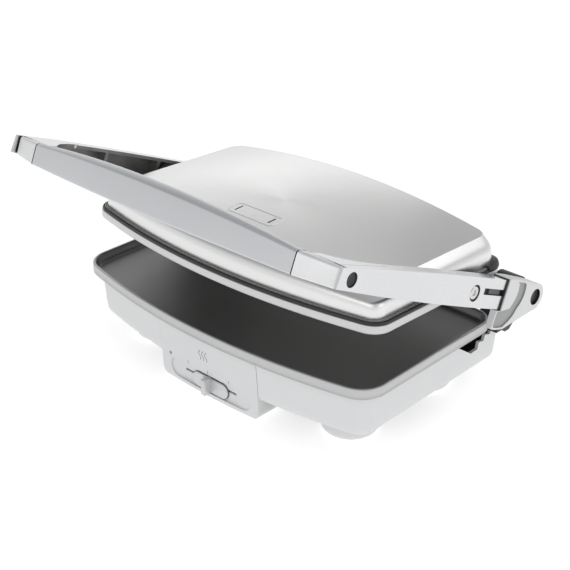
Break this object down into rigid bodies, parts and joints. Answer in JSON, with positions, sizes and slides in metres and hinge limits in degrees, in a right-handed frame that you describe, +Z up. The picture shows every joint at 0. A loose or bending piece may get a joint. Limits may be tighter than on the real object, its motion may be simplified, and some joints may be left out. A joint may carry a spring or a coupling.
{
  "type": "panini press",
  "caption": "Countertop contact grill with a flat tray plate, a floating stainless lid between two cast arms, a bar handle and a heat slider on the front.",
  "frame": {"origin": "centre of the footprint of the whole press as pictured (handle raised), on the worktop under the foot pads", "axes": "+X to the user's right along the hinge rod, +Y to the back where the hinge is, +Z up; the control panel and the handle bar are on the -Y side"},
  "size_m": [0.3746, 0.2838, 0.2197],
  "materials": {
    "housing_plastic": "light cool grey moulded plastic, fine satin texture",
    "coated_plate": "cast aluminium with a dark satin non-stick coat",
    "brushed_steel": "brushed stainless pressing",
    "plated_steel": "bright zinc or chrome plating",
    "cast_aluminium": "polished die casting outside, plain casting inside",
    "satin_aluminium": "pale satin silver-grey",
    "black_plastic": "black heat-resistant plastic",
    "dark_plastic": "dark grey plastic",
    "foot_rubber": "grey rubber",
    "element_sheath": "heat-tinted steel sheath",
    "sheet_steel": "bright thin sheet",
    "lens": "small smoked indicator lens"
  },
  "bodies": {
    "base": {"base_housing": "housing_plastic", "control_panel": "housing_plastic", "foot_front_right": "housing_plastic", "foot_front_left": "housing_plastic", "foot_rear_right": "housing_plastic", "foot_rear_left": "housing_plastic", "lower_plate": "coated_plate", "bottom_screw_1": "plated_steel", "bottom_screw_2": "plated_steel", "bottom_screw_3": "plated_steel", "bottom_screw_4": "plated_steel", "hinge_post_right": "black_plastic", "hinge_post_left": "black_plastic", "cord_gland": "black_plastic", "bottom_cover": "dark_plastic", "thermostat": "dark_plastic", "terminal_block": "dark_plastic", "foot_pad_front_right": "foot_rubber", "foot_pad_front_left": "foot_rubber", "foot_pad_rear_right": "foot_rubber", "foot_pad_rear_left": "foot_rubber", "lower_element": "element_sheath", "lower_reflector": "sheet_steel", "indicator_lens": "lens"},
    "rod": {"hinge_rod": "plated_steel", "rod_clip_right": "black_plastic", "rod_clip_left": "black_plastic"},
    "handle": {"handle_bar": "satin_aluminium", "handle_end_right": "satin_aluminium", "handle_end_left": "satin_aluminium", "arm_right": "cast_aluminium", "arm_left": "cast_aluminium", "arm_plug_right": "black_plastic", "arm_plug_left": "black_plastic", "float_screw_right": "plated_steel", "float_screw_left": "plated_steel", "hinge_bracket_right": "housing_plastic", "hinge_bracket_left": "housing_plastic"},
    "lid": {"lid_cover": "brushed_steel", "lid_frame": "black_plastic", "upper_plate": "coated_plate", "upper_element": "element_sheath", "upper_reflector": "sheet_steel", "pivot_insert_right": "plated_steel", "pivot_insert_left": "plated_steel"},
    "height_slide_right": {"height_slide_right": "dark_plastic"},
    "height_slide_left": {"height_slide_left": "dark_plastic"},
    "knob": {"slider_knob": "housing_plastic"}
  },
  "joints": [
    {"name": "rod_hinge", "type": "hinge", "parent": "base", "child": "rod", "pos_m": [0, 0.12915, 0.0883], "axis": [-1, 0, 0], "range_deg": [0, 75]},
    {"name": "arm_hinge", "type": "hinge", "parent": "rod", "child": "handle", "pos_m": [0, 0.12915, 0.0883], "axis": [-1, 0, 0], "range_deg": [-23, 0]},
    {"name": "lid_float", "type": "hinge", "parent": "handle", "child": "lid", "pos_m": [0, 0.04065, 0.1253], "axis": [-1, 0, 0], "range_deg": [0, 21]},
    {"name": "temperature_slide", "type": "slide", "parent": "base", "child": "knob", "axis": [1, 0, 0], "range_m": [-0.0248, 0.0248]},
    {"name": "height_slide_right", "type": "slide", "parent": "handle", "child": "height_slide_right", "axis": [0, -0.9135, 0.4067], "range_m": [0, 0.0095]},
    {"name": "height_slide_left", "type": "slide", "parent": "handle", "child": "height_slide_left", "axis": [0, -0.9135, 0.4067], "range_m": [0, 0.0095]}
  ],
  "couplings": [
    {"joint": "lid_float", "follows": "arm_hinge", "ratio": -0.89348}
  ]
}
